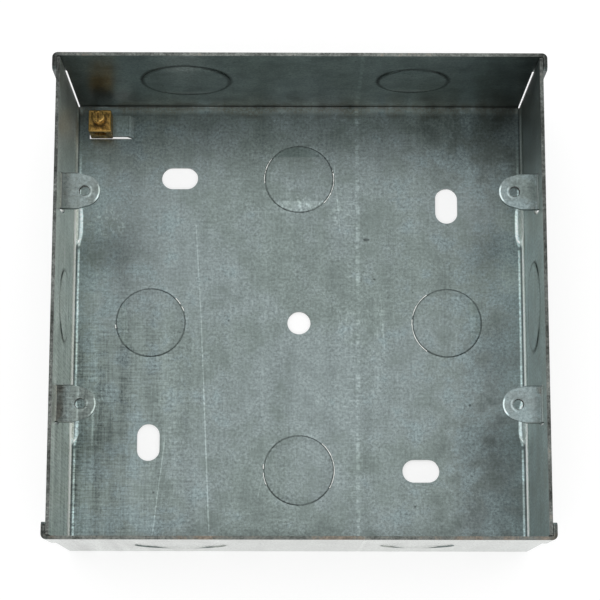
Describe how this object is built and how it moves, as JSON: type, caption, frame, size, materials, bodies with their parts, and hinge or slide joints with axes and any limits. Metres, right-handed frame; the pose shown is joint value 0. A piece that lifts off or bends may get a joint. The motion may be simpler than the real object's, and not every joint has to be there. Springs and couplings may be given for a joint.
{
  "type": "metal back box",
  "caption": "Square folded steel back box with knockouts, tapped cover lugs, wall-fixing slots and a brass earth terminal in one corner.",
  "frame": {"origin": "middle of the rear face, which lies on the ground plane", "axes": "+Z out of the mouth, +X to the right and +Y to the top as the box is mounted, with the earth terminal in the -X +Y corner"},
  "size_m": [0.1384, 0.136, 0.047],
  "materials": {
    "galvanised_steel": "dull zinc coat with rolling streaks",
    "brass": "machined, slightly tarnished"
  },
  "bodies": {
    "root": {"box_shell": "galvanised_steel", "earth_terminal_block": "brass", "earth_terminal_screw": "brass"}
  },
  "joints": []
}
